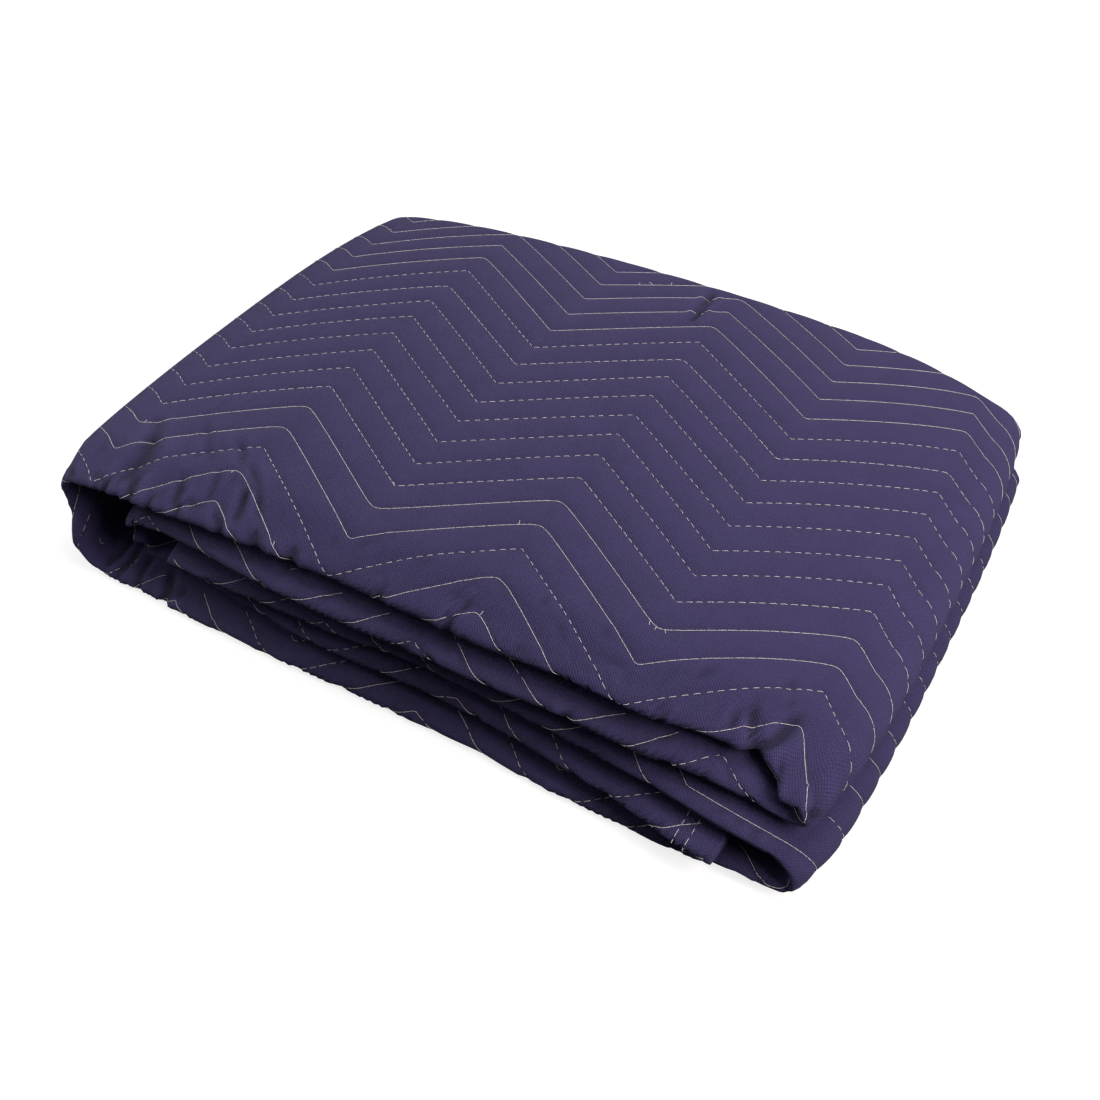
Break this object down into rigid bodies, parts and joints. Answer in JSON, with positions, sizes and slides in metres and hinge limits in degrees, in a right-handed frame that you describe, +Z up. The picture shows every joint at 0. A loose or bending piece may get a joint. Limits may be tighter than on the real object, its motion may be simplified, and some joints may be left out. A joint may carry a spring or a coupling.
{
  "type": "folded moving blanket",
  "caption": "Thick quilted furniture pad with zigzag stitch rows, folded flat into a low rectangular pile with soft rounded folds.",
  "frame": {"origin": "middle of the folded pile's footprint, on the surface it lies on", "axes": "+X along the longer side towards the two bulging folds, +Y from the folded front edge to the back edge, +Z up"},
  "size_m": [0.4444, 0.3308, 0.0733],
  "materials": {
    "quilted_cloth": "indigo woven cotton and polyester cloth, quilted over a thin wadding"
  },
  "bodies": {
    "root": {"blanket": "quilted_cloth"}
  },
  "joints": []
}
